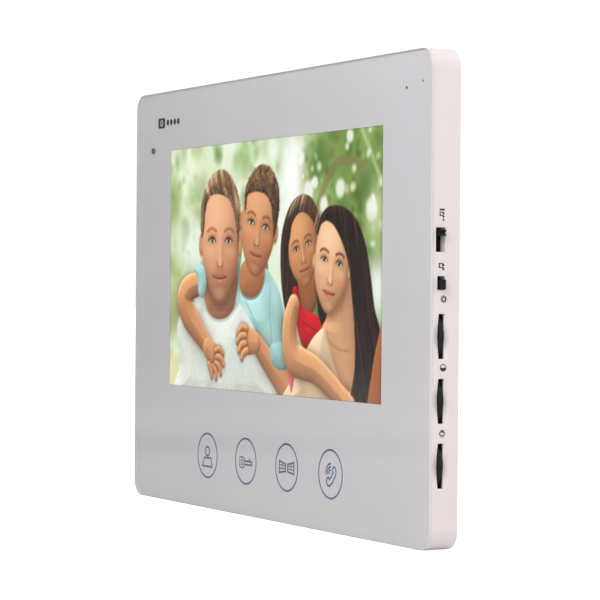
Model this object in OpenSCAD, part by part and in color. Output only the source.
// Wall-mounted video intercom monitor: a flat glass-fronted housing that hangs on a steel wall bracket.
// Millimetres. +X is to the right seen from the front, +Z is up, and the front faces -Y.
// The origin is on the wall plane, at the middle of the wall bracket.

/* [Front] */
// Width of the front
face_w = 214; // [206:1:230]
// Height of the front
face_h = 151; // [146:1:170]
// Radius of the corners of the front
corner_r = 6; // [4:0.5:9]
// Thickness of the front glass
glass_t = 0.9; // [0.7:0.1:1.2]

/* [Screen] */
// Width of the clear window
window_w = 154.8; // [150:0.2:156]
// Height of the clear window
window_h = 86.6; // [84:0.2:88]
// Sideways place of the window's centre
window_x = -0.5; // [-1:0.1:1]
// Height of the window's centre above the middle of the front
window_z = 10.45; // [9:0.05:11]

/* [Housing] */
// Depth of the visible shell, with the glass
shell_d = 10.2; // [10:0.1:12]
// Thickness of the side walls
wall_t = 2.8; // [2.4:0.2:3]
// Thickness of the plate behind the glass
front_wall_t = 1.5; // [1.2:0.1:1.6]
// Distance from the wall to the front of the glass
total_d = 20; // [20:0.5:24]

/* [Touch buttons] */
// Distance from one touch button to the next
touch_pitch = 30.1; // [28:0.1:32]
// Sideways place of the first touch button
touch_x = -45.35; // [-46:0.05:-40]
// Height of the row of touch buttons
touch_z = -56.8; // [-57:0.05:-55]
// Outer radius of a printed button ring
ring_r = 8.15; // [7:0.05:8.5]
// Width of the printed lines
stroke_w = 0.65; // [0.3:0.05:0.7]

/* [Side controls] */
// Radius of a thumbwheel
wheel_r = 9; // [8.8:0.1:9.1]
// Thickness of a thumbwheel
wheel_t = 1.6; // [1.2:0.1:1.6]
// Height of the first thumbwheel's centre
wheel_z = -11.1; // [-12:0.1:-10]
// Distance from one thumbwheel to the next
wheel_pitch = 19.4; // [19.2:0.05:19.5]
// Length of a thumbwheel slot
wheel_slot_h = 13.5; // [13:0.1:14]
// Depth of the finger dish round a thumbwheel
dish_d = 0.9; // [0.8:0.1:1.3]
// Travel of the slide switch
lever_travel = 4.2; // [3:0.1:4.2]

/* [Wall bracket] */
// Width of the bracket
bracket_w = 100; // [96:1:104]
// Height of the bracket
bracket_h = 92; // [90:1:94]
// Thickness of the sheet steel
bracket_t = 1.5; // [1:0.1:1.5]
// Sideways spacing of the four wall screw holes
wall_hole_w = 80; // [76:1:84]
// Upright spacing of the four wall screw holes
wall_hole_h = 74; // [70:1:76]
// Spacing of the two holes for a rectangular wall box
box_hole_h = 83.3; // [83:0.1:84]
// Spacing of the two slots for a round wall box
box_slot_w = 60; // [58:0.5:62]
// How far the monitor lifts to come off its hooks
lift = 8; // [6:0.5:8]

/* [Hidden] */
$fn = 64;
EPS = 0.05;

// Layers from the front of the glass back to the wall, as places along Y
glass_y = -total_d;
print_t = 0.1;
print_y = glass_y + glass_t;
tape_t = 0.2;
tape_y = print_y + print_t;
plate_y = tape_y + tape_t;
plate_back = plate_y + front_wall_t;
shell_back = glass_y + shell_d;
flange_t = 1.8;
flange_y = shell_back - 2;
flange_back = flange_y + flange_t;
hump_back = -0.5;
side_x = face_w / 2;
side_inner_x = side_x - wall_t;
rim_w = 1;

// Display module, and the front of the main board behind it
board_y = -9.4;
lcd_w = 165;
lcd_h = 100;
lcd_x = window_x;
lcd_z = window_z - 1.45;
lcd_d = 4.3;
lcd_y = tape_y;
lcd_back = lcd_y + lcd_d;
cell_t = 1.2;
tray_t = 0.4;
lcd_gap = 0.5;
flex_y = board_y - 2;
clip_places = [[-50, 1], [50, 1], [-50, -1], [50, -1]];
clip_post_r = 2.2;
clip_gap = 3.6;
clip_t = 0.5;

// Rear hump and the tray that the bracket sits in
hump_w = 168;
hump_h = 136;
hump_wall = 2;
hump_skin = [hump_back - hump_wall - EPS, hump_back + EPS];
tray_w = bracket_w + 4;
tray_top = bracket_h / 2 + 2;
tray_bottom = -bracket_h / 2 - lift - 2;
tray_floor_y = -1.8;
tray_floor_t = 2;
tray_front_y = tray_floor_y - tray_floor_t;
cable_door_w = 56;
cable_door_top = -12;
cable_door_bottom = -36;

// Hooks of the bracket: the monitor's weight rests on the top face of each stem
hook_x = 44;
hook_heights = [24, -20];
hook_w = 8;
hook_stem_t = 1.5;
hook_tip_h = 6;
hook_tip_t = 1.3;
hook_gap = 0.4;
hook_slot_h = 11;
bracket_window_w = 40;
bracket_window_h = 22;
bracket_window_z = 20;
screw_hole_r = 2.2;
box_slot_len = 8;

// Case screws and their bosses in the front housing
case_screw_places = [[-97, 68.5], [87, 69.5], [-97, 0], [97, 44], [-97, -68.5], [97, -68.5]];
boss_r = 3;
boss_bore_r = 1.1;
screw_r = 1.05;
screw_head_r = 2.4;
screw_head_t = 0.9;

// Main board
board_t = 1.6;
board_back = board_y + board_t;
board_w = 74;
board_top = 38;
board_bottom = -42;
board_screw_places = [[-33, 34], [33, 34], [-33, -38], [33, -38]];
board_post_r = 2.6;
small_bore_r = 0.9;
small_screw_r = 0.85;
small_head_r = 1.8;
small_head_t = 0.7;
header_z = -17;
header_d = 4.5;
header_h = 5.4;
header_wall = 0.6;
pin_pitch = 2;
pin_r = 0.25;
header_specs = [[-13.5, 4], [0, 4], [11.5, 2]];

// Touch board
touch_count = 4;
touch_board_x = [-56.5, 56.5];
touch_board_z = [-65.2, -47.8];
touch_board_t = 1;
electrode_t = 0.1;
touch_board_back = plate_back + electrode_t + touch_board_t;
touch_ribbon_x = [20, 32];

// Side board and its controls
side_board_y = -13.8;
side_board_t = 1;
side_board_x = [90, 103];
side_board_z = [-64, 30];
side_post_places = [[92.5, 27.5], [91.7, wheel_z - wheel_pitch / 2], [93.5, -61.5]];
side_post_r = 1.7;
wheel_x = side_x + 0.55 - wheel_r;
wheel_y = -16.8;
wheel_slot_y = [-16.95, -14.85];
wheel_shaft_r = 1.5;
wheel_shaft_gap = 0.05;
wheel_clear = 0.5;
wheel_centres = [wheel_z, wheel_z - wheel_pitch, wheel_z - 2 * wheel_pitch];
pot_r = 4.6;
pot_y = -15;
dish_ring_r = 32;
dish_tube_r = 6.1;
dish_y = -15.7;
lever_z = [19, 20.84];
lever_y = [-17.6, -15.35];
lever_out = 1.5;
lever_slot_y = [-18.2, -14.9];
lever_slot_z = [14.17, 21.5];
button_z = [3, 6];
button_y = [-17.1, -15.35];
button_out = 1.5;
button_slot_y = [-17.58, -14.9];
button_slot_z = [2.8, 6.95];

// Microphone, status lights and loudspeaker
mic_place = [-92.6, 54.05];
mic_hole_r = 1;
mic_r = 2.95;
mic_boot_r = 4.4;
light_places = [[90.9, 64.3, 0.5], [100.3, 65.7, 0.4]];
light_pipe_r = 0.9;
speaker_place = [-68, -28];
speaker_r = 13;
speaker_y = -7;
speaker_back_y = -3;
magnet_r = 8;
grille_r = 11;

// Route of the first loudspeaker wire, from the loudspeaker to its socket on the main board
wire_route = [
    [-55, -6.6, -26], [-53, -7.4, -24.5], [-51, -9, -22], [-49, -10.4, -18],
    [-46.5, -10.9, -12], [-43, -10.8, -6.5], [-40, -10.4, -4]
];
wire_end = [-36, -10.2, -3];
wire_r = 0.45;
wire_step = [-0.8, 0, 1];

// ---- Helpers ----

// A flat shape drawn in X and Z, given a thickness t from y towards the wall
module layer(y, t) {
    translate([0, y + t, 0]) rotate([90, 0, 0]) linear_extrude(t) children();
}

module rounded(w, h, r) {
    square([w - 2 * r, h], center = true);
    square([w, h - 2 * r], center = true);
    for (sx = [-1, 1], sz = [-1, 1]) translate([sx * (w / 2 - r), sz * (h / 2 - r)]) circle(r);
}

module face_outline(inset) {
    rounded(face_w - 2 * inset, face_h - 2 * inset, corner_r - inset);
}

// A box from its two limits along each axis
module block(x, y, z) {
    translate([x[0], y[0], z[0]]) cube([x[1] - x[0], y[1] - y[0], z[1] - z[0]]);
}

// A round bar along Y at a place in the X-Z plane
module bar_y(place, r, y0, y1) {
    translate([place[0], y0, place[1]]) rotate([-90, 0, 0]) cylinder(h = y1 - y0, r = r);
}

module tube_y(place, r_out, r_in, y0, y1) {
    difference() {
        bar_y(place, r_out, y0, y1);
        bar_y(place, r_in, y0 - EPS, y1 + EPS);
    }
}

// A straight printed line from a to b
module line(a, b, w = stroke_w) {
    d = b - a;
    translate(a) rotate(atan2(d[1], d[0])) translate([-w / 2, -w / 2]) square([norm(d) + w, w]);
}

module outline(points, w = stroke_w) {
    n = len(points);
    for (i = [0 : n - 1]) line(points[i], points[(i + 1) % n], w);
}

module ring(r, w = stroke_w) {
    difference() {
        circle(r);
        circle(r - w);
    }
}

// A ring kept only between two angles
module arc(r, from, to, w = stroke_w) {
    steps = 8;
    for (i = [0 : steps - 1]) {
        a = from + (to - from) * i / steps;
        b = from + (to - from) * (i + 1) / steps;
        line(r * [cos(a), sin(a)], r * [cos(b), sin(b)], w);
    }
}

// A round wire swept along a smooth curve through the points of a route
function blend_point(p, i, t) = let (
    a = p[max(i - 1, 0)], b = p[i], c = p[i + 1], d = p[min(i + 2, len(p) - 1)]
) 0.5 * (2 * b + (c - a) * t + (2 * a - 5 * b + 4 * c - d) * t * t + (3 * b - a - 3 * c + d) * t * t * t);

function smooth_route(p, n) = concat(
    [for (i = [0 : len(p) - 2], k = [0 : n - 1]) blend_point(p, i, k / n)], [p[len(p) - 1]]
);

module wire(route, r, sides = 8) {
    path = smooth_route(route, 3);
    count = len(path);
    rings = [for (i = [0 : count - 1]) let (
        along = path[min(i + 1, count - 1)] - path[max(i - 1, 0)],
        t = along / norm(along),
        u = cross(t, [0, 1, 0]) / norm(cross(t, [0, 1, 0])),
        v = cross(t, u)
    ) for (k = [0 : sides - 1]) path[i] + r * (cos(360 * k / sides) * u + sin(360 * k / sides) * v)];
    quads = [for (i = [0 : count - 2], k = [0 : sides - 1]) let (m = (k + 1) % sides)
        [i * sides + m, i * sides + k, (i + 1) * sides + k, (i + 1) * sides + m]];
    first = [for (k = [0 : sides - 1]) k];
    last = [for (k = [0 : sides - 1]) count * sides - 1 - k];
    polyhedron(rings, concat(quads, [first, last]));
}

// ---- Printed symbols ----

module person_symbol() {
    translate([0, 1.5]) ring(1.95);
    outline([[-2.6, -0.85], [2.8, -0.85], [3.75, -3.9], [-3.95, -3.9]]);
}

module key_symbol() {
    translate([-2.85, -0.5]) difference() {
        rounded(4, 4.1, 1);
        rounded(3, 3.1, 0.5);
    }
    outline([[-3.45, 0.35], [-2.25, 0.35], [-2.25, -1.35], [-3.45, -1.35]], 0.42);
    line([-0.8, 0.05], [4.6, 0.05]);
    line([-0.8, -1.15], [4.6, -1.15]);
    line([4.6, 0.05], [4.6, -1.15]);
    line([2.7, 0.05], [2.7, 0.85]);
}

// One leaf of a double gate, hinged at its tall side
module gate_leaf() {
    tall = 1.95;
    low = 1.05;
    leaf_w = 4.45;
    outline([[0, tall], [leaf_w, low], [leaf_w, -low - 0.3], [0, -tall]]);
    line([leaf_w * 0.45, 1.4], [leaf_w * 0.45, -0.55], 0.4);
    line([0, 0.65], [leaf_w, 0.35], 0.4);
    line([0, -0.65], [leaf_w, -0.4], 0.4);
}

module gate_symbol() {
    translate([-5.2, 0]) gate_leaf();
    mirror([1, 0]) translate([-5.2, 0]) gate_leaf();
}

module phone_symbol() {
    outline([
        [1.5, 1.9], [2.3, 2.55], [3.2, 2.2], [3.75, 1.1], [3.3, -0.4], [1.3, -2.7], [-0.6, -3.95],
        [-1.8, -3.7], [-2.6, -2.7], [-2.2, -1.5], [-1.3, -1.1], [-0.5, -1.8], [0.7, -0.7], [1.7, 0.7]
    ]);
    translate([0.3, 0.1]) {
        arc(3.3, 95, 180);
        arc(2.3, 95, 180);
        arc(1.3, 100, 175);
    }
}

module touch_symbol(i) {
    if (i == 0) person_symbol();
    if (i == 1) key_symbol();
    if (i == 2) gate_symbol();
    if (i == 3) phone_symbol();
}

module button_print() {
    for (i = [0 : touch_count - 1]) translate([touch_x + i * touch_pitch, touch_z]) {
        ring(ring_r);
        touch_symbol(i);
    }
}

// A generic camera symbol with a row of dots after it
module mark_print() {
    translate([-86.3, 64.1]) {
        difference() {
            rounded(6, 3.8, 0.9);
            circle(1.2);
        }
        circle(0.6);
        for (i = [0 : 3]) translate([5.4 + 3 * i, 0]) circle(1.15);
    }
}

// A musical note lying on its side, drawn in depth and height
module note_symbol() {
    line([0, 0], [0, -1], 0.32);
    line([0, 0], [1.1, 0], 0.26);
    line([0, -1], [1.1, -1], 0.26);
    translate([1.18, -0.38]) circle(0.34);
    translate([1.2, -1.38]) circle(0.33);
}

module sun_symbol() {
    difference() {
        circle(0.8);
        circle(0.45);
    }
    for (a = [0 : 45 : 315]) rotate(a) line([0.85, 0], [1.1, 0], 0.28);
}

module contrast_symbol() {
    ring(1.1, 0.22);
    difference() {
        circle(1);
        translate([-2, 0]) square([4, 2]);
    }
}

module bell_symbol() {
    translate([0, 0.85]) square([1.2, 0.4], center = true);
    difference() {
        rounded(2.1, 1.15, 0.5);
        rounded(1.6, 0.65, 0.25);
    }
    line([-0.6, -0.88], [0.6, -0.88], 0.2);
}

// ---- Front ----

module front_glass() {
    color([0.86, 0.87, 0.88, 0.4]) layer(glass_y, glass_t) difference() {
        face_outline(0);
        translate(mic_place) circle(mic_hole_r);
    }
}

module glass_print() {
    color([0.76, 0.76, 0.77]) layer(print_y, print_t) difference() {
        face_outline(rim_w / 4);
        translate([window_x, window_z]) square([window_w, window_h], center = true);
        translate(mic_place) circle(mic_hole_r);
        for (p = light_places) translate([p[0], p[1]]) circle(p[2]);
        button_print();
        mark_print();
    }
}

module button_icons() {
    color([0.29, 0.39, 0.53]) layer(print_y, print_t) button_print();
}

module maker_mark() {
    color([0.14, 0.15, 0.22]) layer(print_y, print_t) mark_print();
}

module adhesive_sheet() {
    color([0.15, 0.15, 0.16]) layer(tape_y, tape_t) difference() {
        face_outline(rim_w);
        lcd_outline(-lcd_gap);
        translate(mic_place) circle(mic_hole_r);
        for (p = light_places) translate([p[0], p[1]]) circle(light_pipe_r);
    }
}

// ---- Housing ----

module wheel_dish(z) {
    translate([side_x - dish_d + dish_ring_r, dish_y, z])
        rotate([90, 0, 0]) rotate_extrude() translate([dish_ring_r - dish_tube_r, 0]) circle(dish_tube_r);
}

// Room inside the side wall for the rim of a wheel, short of the outer skin
module wheel_room(z) {
    room_r = wheel_r + wheel_clear;
    skin_x = side_x - 1.8;
    intersection() {
        bar_y([wheel_x, z], room_r, wheel_y - 0.7, wheel_slot_y[1]);
        block([wheel_x - room_r, skin_x], [wheel_y - 1, wheel_slot_y[1] + 1], [z - room_r, z + room_r]);
    }
}

module side_openings() {
    out = [side_inner_x - EPS, side_x + EPS];
    for (z = wheel_centres) {
        wheel_dish(z);
        wheel_room(z);
        block(out, wheel_slot_y, [z - wheel_slot_h / 2, z + wheel_slot_h / 2]);
    }
    block(out, lever_slot_y, lever_slot_z);
    block(out, button_slot_y, button_slot_z);
}

module front_housing() {
    color([0.92, 0.88, 0.88]) difference() {
        union() {
            difference() {
                layer(tape_y, shell_back - tape_y) face_outline(0);
                layer(plate_back, shell_back - plate_back + EPS) face_outline(wall_t);
            }
            for (p = case_screw_places) bar_y(p, boss_r, plate_back - EPS, flange_y);
            for (p = clip_places) bar_y(clip_post(p), clip_post_r, plate_back - EPS, lcd_back);
            for (p = side_post_places) bar_y(p, side_post_r, plate_back - EPS, side_board_y);
        }
        layer(tape_y - EPS, tape_t + EPS) face_outline(rim_w);
        layer(plate_y - EPS, front_wall_t + 2 * EPS) lcd_outline(-lcd_gap);
        bar_y(mic_place, mic_hole_r, plate_y - EPS, plate_back + EPS);
        for (p = light_places) bar_y(p, light_pipe_r, plate_y - EPS, plate_back + EPS);
        for (p = case_screw_places) bar_y(p, boss_bore_r, plate_back + 0.5, flange_y + EPS);
        for (p = clip_places) bar_y(clip_post(p), small_bore_r, plate_back + 0.3, lcd_back + EPS);
        for (p = side_post_places) bar_y(p, small_bore_r, plate_back + 0.5, side_board_y + EPS);
        side_openings();
    }
}

module grille_slots() {
    slot_w = 1.6;
    for (i = [-3 : 3]) {
        half = sqrt(grille_r * grille_r - pow(3 * i, 2));
        x = speaker_place[0];
        z = speaker_place[1] + 3 * i;
        block([x - half, x + half], hump_skin, [z - slot_w / 2, z + slot_w / 2]);
    }
}

module vent_slots() {
    for (i = [0 : 5])
        block([60 + 3.6 * i, 61.8 + 3.6 * i], hump_skin, [-18, 18]);
}

module rear_cover() {
    tray_mid = (tray_top + tray_bottom) / 2;
    tray_h = tray_top - tray_bottom;
    cavity_w = hump_w - 2 * hump_wall;
    cavity_h = hump_h - 2 * hump_wall;
    color([0.88, 0.85, 0.85]) difference() {
        union() {
            difference() {
                union() {
                    layer(flange_y, flange_t) face_outline(wall_t + 0.2);
                    layer(flange_back - EPS, hump_back - 1.2 - flange_back + EPS) rounded(hump_w, hump_h, 8);
                    layer(hump_back - 1.2 - EPS, 1.2 + EPS) rounded(hump_w - 2, hump_h - 2, 7);
                }
                layer(flange_y - EPS, hump_back - hump_wall - flange_y + EPS) rounded(cavity_w, cavity_h, 6);
            }
            layer(tray_front_y, hump_back - tray_front_y)
                translate([0, tray_mid]) rounded(tray_w + 2 * hump_wall, tray_h + 2 * hump_wall, 5);
            for (p = board_screw_places) bar_y(p, board_post_r, board_back, tray_front_y + EPS);
            tube_y(
                speaker_place, speaker_r + 1.4, speaker_r + 0.2,
                speaker_y + 1, hump_back - hump_wall + EPS
            );
        }
        layer(tray_floor_y, hump_back - tray_floor_y + EPS)
            translate([0, tray_mid]) rounded(tray_w, tray_h, 3);
        for (sx = [-1, 1], top = hook_heights)
            block(
                sx > 0 ? [hook_x - 4.5, hook_x + 4.5] : [-hook_x - 4.5, -hook_x + 4.5],
                [tray_front_y - EPS, tray_floor_y + EPS], [top - hook_slot_h, top]
            );
        block(
            [-cable_door_w / 2, cable_door_w / 2], [tray_front_y - EPS, tray_floor_y + EPS],
            [cable_door_bottom, cable_door_top]
        );
        for (p = board_screw_places) bar_y(p, small_bore_r, board_back - EPS, tray_front_y + 0.8);
        for (p = case_screw_places) {
            bar_y(p, 1.4, flange_y - EPS, flange_back + EPS);
            bar_y(p, screw_head_r + 0.3, flange_back - screw_head_t, flange_back + EPS);
        }
        grille_slots();
        vent_slots();
    }
}

module rubber_pads() {
    color([0.12, 0.12, 0.12])
        for (x = [-76, 76], z = [-60, 58]) bar_y([x, z], 4, hump_back, 0);
}

module rating_label() {
    color([0.93, 0.93, 0.9]) layer(hump_back, 0.1) translate([-68, 24]) rounded(22, 34, 1.5);
}

module case_screws() {
    color([0.55, 0.56, 0.58]) for (p = case_screw_places) difference() {
        union() {
            bar_y(p, screw_r, flange_y - 3.6, flange_back - screw_head_t + EPS);
            bar_y(p, screw_head_r, flange_back - screw_head_t, flange_back - 0.05);
        }
        for (turn = [0, 90]) translate([p[0], flange_back - 0.5, p[1]]) rotate([0, turn, 0])
            translate([-1.3, 0, -0.25]) cube([2.6, 1, 0.5]);
    }
}

// ---- Wall bracket ----

module hook(x, top) {
    inner_y = tray_front_y - hook_gap;
    wide = [x - hook_w / 2, x + hook_w / 2];
    block(wide, [inner_y - hook_tip_t, EPS - bracket_t], [top - hook_stem_t, top]);
    block(wide, [inner_y - hook_tip_t, inner_y], [top - hook_stem_t, top + hook_tip_h]);
}

module wall_bracket() {
    color([0.72, 0.73, 0.75]) {
        layer(-bracket_t, bracket_t) difference() {
            rounded(bracket_w, bracket_h, 4);
            for (sz = [-1, 1])
                translate([0, sz * bracket_window_z]) rounded(bracket_window_w, bracket_window_h, 3);
            for (sx = [-1, 1], sz = [-1, 1])
                translate([sx * wall_hole_w / 2, sz * wall_hole_h / 2]) circle(screw_hole_r);
            for (sz = [-1, 1]) translate([0, sz * box_hole_h / 2]) circle(screw_hole_r);
            for (sx = [-1, 1]) translate([sx * box_slot_w / 2, 0]) {
                square([box_slot_len - 2 * screw_hole_r, 2 * screw_hole_r], center = true);
                for (s = [-1, 1]) translate([s * (box_slot_len / 2 - screw_hole_r), 0]) circle(screw_hole_r);
            }
        }
        for (sx = [-1, 1], top = hook_heights) hook(sx * hook_x, top);
    }
}

// ---- Display ----

module lcd_outline(inset) {
    translate([lcd_x, lcd_z]) square([lcd_w - 2 * inset, lcd_h - 2 * inset], center = true);
}

// Clear film that bonds the display to the glass and fills the window in the print
module optical_adhesive() {
    color([0.9, 0.92, 0.95, 0.3]) layer(print_y, print_t)
        translate([window_x, window_z]) square([window_w, window_h], center = true);
}

// Foam strip between the display and the edge of its opening
module lcd_gasket() {
    color([0.1, 0.1, 0.1]) layer(plate_y, front_wall_t) difference() {
        lcd_outline(-lcd_gap);
        lcd_outline(0);
    }
}

module lcd_cell() {
    color([0.08, 0.09, 0.12]) layer(lcd_y, cell_t) lcd_outline(0.7);
}

module lcd_backlight() {
    color([0.95, 0.96, 0.98]) layer(lcd_y + cell_t, lcd_back - tray_t - lcd_y - cell_t) lcd_outline(0.7);
}

module lcd_frame() {
    color([0.75, 0.76, 0.77]) difference() {
        layer(lcd_y, lcd_back - lcd_y) lcd_outline(0);
        layer(lcd_y - EPS, lcd_back - tray_t - lcd_y + EPS) lcd_outline(0.6);
    }
}

// The film runs out under the lower edge of the display and turns up behind it
module lcd_flex() {
    half = 18;
    film = 0.2;
    start_y = plate_back + 0.6;
    low = lcd_z - lcd_h / 2 - 1;
    color([0.75, 0.45, 0.15]) {
        block([-half, half], [start_y, start_y + film], [low - film, low + 1]);
        block([-half, half], [start_y, flex_y], [low - film, low]);
        block([-half, half], [flex_y - film, flex_y], [low - film, -32]);
    }
}

// The post of a clip stands just above or below the display
function clip_post(p) = [p[0], lcd_z + p[1] * (lcd_h / 2 + clip_gap)];

module lcd_clips() {
    color([0.7, 0.71, 0.73]) layer(lcd_back, clip_t) for (p = clip_places)
        translate(clip_post(p)) difference() {
            translate([0, -p[1] * 2.9]) square([8, 10.2], center = true);
            circle(small_bore_r);
        }
}

// A small pan-head screw whose head sits on y and whose shank runs towards the front
module small_screw(place, y, length) {
    difference() {
        union() {
            bar_y(place, small_screw_r, y - length, y + EPS);
            bar_y(place, small_head_r, y, y + small_head_t);
        }
        translate([place[0] - 1.1, y + small_head_t - 0.35, place[1] - 0.2]) cube([2.2, 1, 0.4]);
    }
}

module clip_screws() {
    color([0.5, 0.51, 0.53]) for (p = clip_places) small_screw(clip_post(p), lcd_back + clip_t, 2.6);
}

// ---- Touch panel ----

module touch_board() {
    color([0.1, 0.35, 0.2]) difference() {
        block(touch_board_x, [plate_back + electrode_t, touch_board_back], touch_board_z);
        for (i = [0 : touch_count - 1])
            bar_y([touch_x + i * touch_pitch, touch_z], 1.2, plate_back, plate_back + 2);
    }
}

module touch_electrodes() {
    color([0.85, 0.6, 0.3]) for (i = [0 : touch_count - 1])
        tube_y([touch_x + i * touch_pitch, touch_z], 7, 2, plate_back, plate_back + electrode_t);
}

module touch_leds() {
    color([0.95, 0.95, 0.85]) for (i = [0 : touch_count - 1]) {
        x = touch_x + i * touch_pitch;
        block([x - 1.6, x + 1.6], [touch_board_back, touch_board_back + 0.8], [touch_z - 1.6, touch_z + 1.6]);
    }
}

module touch_chip() {
    color([0.12, 0.12, 0.13]) block([-2, 5], [touch_board_back, touch_board_back + 1.2], [-60, -53]);
}

module touch_ribbon() {
    film = 0.2;
    rear_y = board_y - 1.4;
    color([0.85, 0.85, 0.82]) {
        block(touch_ribbon_x, [touch_board_back, rear_y], [-51, -51 + film]);
        block(touch_ribbon_x, [rear_y - film, rear_y], [-51, -27]);
    }
}

// ---- Main board ----

module main_board() {
    color([0.08, 0.32, 0.18]) difference() {
        block([-board_w / 2, board_w / 2], [board_y, board_back], [board_bottom, board_top]);
        for (p = board_screw_places) bar_y(p, 1.1, board_y - EPS, board_back + EPS);
    }
}

module shield_can() {
    color([0.78, 0.79, 0.8]) block([-30, -8], [board_back, board_back + 2.4], [6, 28]);
}

module chips() {
    color([0.1, 0.1, 0.11]) {
        block([-2, 8], [board_back, board_back + 1.2], [14, 24]);
        block([14, 21], [board_back, board_back + 1.2], [20, 27]);
        block([14, 20], [board_back, board_back + 1.4], [8, 13]);
    }
}

module inductors() {
    color([0.3, 0.3, 0.32]) for (x = [26, 34]) block([x - 3, x + 3], [board_back, board_back + 3], [-4, 2]);
}

module capacitors() {
    color([0.75, 0.6, 0.25]) for (x = [-30, -24, -18, 14])
        block([x - 2.1, x + 2.1], [board_back, board_back + 2.8], [-6, 1.3]);
}

function pin_place(spec, i) = [spec[0] + (i - (spec[1] - 1) / 2) * pin_pitch, header_z + header_d / 2];

// The open box of one header; a spec holds the place of its middle and its number of pins
module header_box(spec) {
    half = spec[1] * pin_pitch / 2 + 0.95;
    inner = half - header_wall;
    top = board_back + header_h;
    difference() {
        block([spec[0] - half, spec[0] + half], [board_back, top], [header_z, header_z + header_d]);
        block(
            [spec[0] - inner, spec[0] + inner], [board_back + 1.2, top + EPS],
            [header_z + header_wall, header_z + header_d - header_wall]
        );
        for (i = [0 : spec[1] - 1]) bar_y(pin_place(spec, i), pin_r, board_back - EPS, board_back + 2);
    }
}

module cable_headers() {
    color([0.93, 0.92, 0.88]) for (spec = header_specs) header_box(spec);
}

module header_pins() {
    color([0.8, 0.7, 0.4]) for (spec = header_specs, i = [0 : spec[1] - 1])
        bar_y(pin_place(spec, i), pin_r, board_back, board_back + header_h - 0.8);
}

// Sockets on the front of the board for the display, the ribbons and the loudspeaker
module board_connectors() {
    color([0.9, 0.89, 0.85]) {
        block([-20, 20], [flex_y, board_y], [-37, -32]);
        block([touch_ribbon_x[0] - 1, touch_ribbon_x[1] + 1], [board_y - 1.4, board_y], [-30, -26]);
        block([31, 36], [board_y - 1.5, board_y], [-7, 3]);
        block([-36, -31], [board_y - 2, board_y], [-6, 4]);
    }
}

module board_screws() {
    color([0.55, 0.56, 0.58]) for (p = board_screw_places) mirror([0, 1, 0]) small_screw(p, -board_y, 4.2);
}

// ---- Side board and controls ----

module side_board() {
    color([0.08, 0.32, 0.18]) difference() {
        block(side_board_x, [side_board_y, side_board_y + side_board_t], side_board_z);
        for (p = side_post_places) bar_y(p, 1, side_board_y - EPS, side_board_y + side_board_t + EPS);
    }
}

module side_board_screws() {
    color([0.5, 0.51, 0.53]) for (p = side_post_places) small_screw(p, side_board_y + side_board_t, 3.4);
}

// Flat cable from the side board, behind the display and back to the main board
module side_ribbon() {
    film = 0.2;
    back = side_board_y + side_board_t;
    rear_y = board_y - 1.5;
    z = [-6, 2];
    color([0.85, 0.85, 0.82]) {
        block([58, 90.5], [back, back + film], z);
        block([58, 58 + film], [back, rear_y], z);
        block([33, 58 + film], [rear_y - film, rear_y], z);
    }
}

module slide_switch_body() {
    stem_z = [lever_z[0] - lever_travel - 0.4, lever_z[1] + 0.4];
    color([0.1, 0.1, 0.1]) difference() {
        block([94, side_inner_x - 0.3], [plate_back + 0.1, side_board_y], [stem_z[0] - 2, stem_z[1] + 2]);
        block([96.5, side_inner_x], [plate_back, -15.3], stem_z);
    }
}

module slide_lever() {
    mid = (lever_z[0] + lever_z[1]) / 2;
    notch = 0.75;
    tip_x = side_x + lever_out;
    color([0.12, 0.12, 0.12]) {
        difference() {
            block([side_inner_x, tip_x], lever_y, lever_z);
            translate([tip_x, lever_y[0] - 1, mid]) rotate([-90, 0, 0]) linear_extrude(4)
                polygon([[EPS, 0.7], [EPS, -0.7], [-notch, 0]]);
        }
        block([97, side_inner_x + EPS], [-16.9, -15.5], lever_z);
    }
}

module push_switch_body() {
    mid = (button_z[0] + button_z[1]) / 2;
    color([0.15, 0.15, 0.16]) difference() {
        block([96, 102], [-17, side_board_y], [mid - 2.6, mid + 2.6]);
        translate([100.4, (button_y[0] + button_y[1]) / 2, mid]) rotate([0, 90, 0]) cylinder(h = 2, r = 0.95);
    }
}

module push_button() {
    mid = (button_z[0] + button_z[1]) / 2;
    mid_y = (button_y[0] + button_y[1]) / 2;
    color([0.12, 0.12, 0.12]) {
        block([side_inner_x - 0.6, side_x + button_out], button_y, button_z);
        block([102.6, side_inner_x - 0.5], [-17.05, -14.75], [mid - 2.3, mid + 2.7]);
        translate([101, mid_y, mid]) rotate([0, 90, 0]) cylinder(h = 1.7, r = 0.9);
    }
}

module pot(z) {
    leg_w = 0.8;
    difference() {
        union() {
            bar_y([wheel_x, z], pot_r, pot_y, side_board_y);
            block([wheel_x - pot_r - 1.4, wheel_x], [pot_y + 0.3, side_board_y], [z - 3, z + 3]);
            for (s = [-1 : 1])
                block(
                    [wheel_x - pot_r - 2.6, wheel_x - pot_r], [pot_y + 0.6, side_board_y],
                    [z + 2 * s - leg_w / 2, z + 2 * s + leg_w / 2]
                );
        }
        bar_y([wheel_x, z], wheel_shaft_r + wheel_shaft_gap, pot_y - EPS, side_board_y + EPS);
    }
}

module brightness_pot() {
    color([0.2, 0.2, 0.22]) pot(wheel_centres[0]);
}

module contrast_pot() {
    color([0.2, 0.2, 0.22]) pot(wheel_centres[1]);
}

module volume_pot() {
    color([0.2, 0.2, 0.22]) pot(wheel_centres[2]);
}

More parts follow.
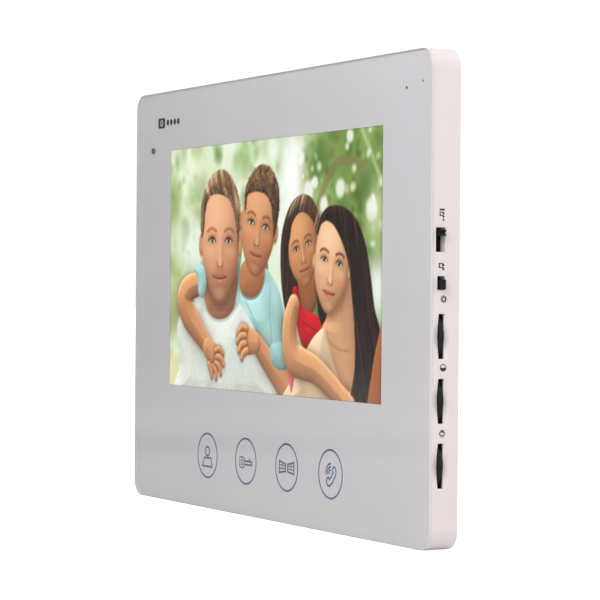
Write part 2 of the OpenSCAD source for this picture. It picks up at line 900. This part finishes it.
// A thumbwheel with fine notches round its rim and a shaft that turns in its potentiometer
module thumbwheel(z) {
    notches = 48;
    notch_r = 0.3;
    place = [wheel_x, z];
    difference() {
        bar_y(place, wheel_r, wheel_y, wheel_y + wheel_t);
        for (i = [0 : notches - 1]) {
            a = 360 * i / notches;
            bar_y(
                [wheel_x + (wheel_r + 0.1) * cos(a), z + (wheel_r + 0.1) * sin(a)], notch_r,
                wheel_y - EPS, wheel_y + wheel_t + EPS
            );
        }
        tube_y(place, wheel_r - 1.8, 3, wheel_y - EPS, wheel_y + 0.4);
    }
    bar_y(place, wheel_shaft_r, wheel_y + wheel_t - EPS, side_board_y - 0.1);
}

module brightness_wheel() {
    color([0.1, 0.1, 0.1]) thumbwheel(wheel_centres[0]);
}

module contrast_wheel() {
    color([0.1, 0.1, 0.1]) thumbwheel(wheel_centres[1]);
}

module volume_wheel() {
    color([0.1, 0.1, 0.1]) thumbwheel(wheel_centres[2]);
}

// Symbols printed on the right side, drawn in depth behind the front and height
module side_icons() {
    ink = 0.05;
    color([0.1, 0.1, 0.1]) translate([side_x, glass_y, 0]) rotate([90, 0, 90]) linear_extrude(ink) {
        line([3.25, 26.85], [4.55, 26.85], 0.5);
        translate([3.2, 26.1]) note_symbol();
        translate([4.4, 23.8]) circle(0.3);
        translate([3.05, 10.7]) scale(1.15) note_symbol();
        translate([4.68, 0.1]) sun_symbol();
        translate([4.65, -20.45]) contrast_symbol();
        translate([4.48, -40.15]) bell_symbol();
    }
}

// ---- Microphone, status lights, loudspeaker ----

module microphone_boot() {
    color([0.15, 0.15, 0.15]) difference() {
        bar_y(mic_place, mic_boot_r, plate_back, plate_back + 3.9);
        bar_y(mic_place, mic_r + 0.05, plate_back + 0.8, plate_back + 4);
        bar_y(mic_place, mic_hole_r, plate_back - EPS, plate_back + 1);
    }
}

module microphone() {
    color([0.7, 0.71, 0.72]) bar_y(mic_place, mic_r, plate_back + 0.8, plate_back + 3.5);
}

module status_board() {
    color([0.1, 0.35, 0.2]) block([89.8, 102.6], [-14.6, -13.8], [60.5, 67.6]);
}

module status_leds() {
    color([0.9, 0.9, 0.8]) for (p = light_places)
        block([p[0] - 0.8, p[0] + 0.8], [-15.6, -14.6], [p[1] - 1, p[1] + 1]);
}

module light_pipes() {
    color([0.9, 0.9, 0.92]) for (p = light_places) {
        bar_y(p, p[2], print_y, tape_y + EPS);
        bar_y(p, light_pipe_r, tape_y, -15.6);
    }
}

module speaker_frame() {
    color([0.25, 0.25, 0.27]) translate([speaker_place[0], speaker_y, speaker_place[1]])
        rotate([-90, 0, 0]) rotate_extrude() polygon([
            [2.5, 0], [9, 0], [speaker_r, 2.6], [speaker_r, 4],
            [speaker_r - 1, 4], [speaker_r - 1, 3], [8.5, 0.6], [2.5, 0.6]
        ]);
}

module speaker_magnet() {
    color([0.3, 0.3, 0.32]) bar_y(speaker_place, magnet_r, speaker_y - 3, speaker_y);
}

module speaker_cone() {
    color([0.15, 0.14, 0.13]) translate([speaker_place[0], speaker_y, speaker_place[1]])
        rotate([-90, 0, 0]) rotate_extrude() polygon([
            [0, 1.4], [3, 1], [4, 1], [speaker_r - 1.2, 3.2], [speaker_r - 1.2, 3.5], [4, 1.4], [0, 1.9]
        ]);
}

module speaker_gasket() {
    color([0.1, 0.1, 0.1])
        tube_y(speaker_place, speaker_r, speaker_r - 2, speaker_back_y, hump_back - hump_wall);
}

module speaker_wires() {
    color([0.7, 0.1, 0.1]) for (i = [0, 1])
        wire(concat([for (p = wire_route) p + i * wire_step], [wire_end + [0, 0, i * wire_step[2]]]), wire_r);
}

wall_bracket();
front_glass();
glass_print();
button_icons();
maker_mark();
adhesive_sheet();
front_housing();
rear_cover();
rubber_pads();
rating_label();
case_screws();
optical_adhesive();
lcd_gasket();
lcd_cell();
lcd_backlight();
lcd_frame();
lcd_flex();
lcd_clips();
clip_screws();
touch_board();
touch_electrodes();
touch_leds();
touch_chip();
touch_ribbon();
main_board();
shield_can();
chips();
inductors();
capacitors();
cable_headers();
header_pins();
board_connectors();
board_screws();
side_board();
side_board_screws();
side_ribbon();
slide_switch_body();
slide_lever();
push_switch_body();
push_button();
brightness_pot();
contrast_pot();
volume_pot();
brightness_wheel();
contrast_wheel();
volume_wheel();
side_icons();
microphone();
microphone_boot();
status_board();
status_leds();
light_pipes();
speaker_frame();
speaker_magnet();
speaker_cone();
speaker_gasket();
speaker_wires();
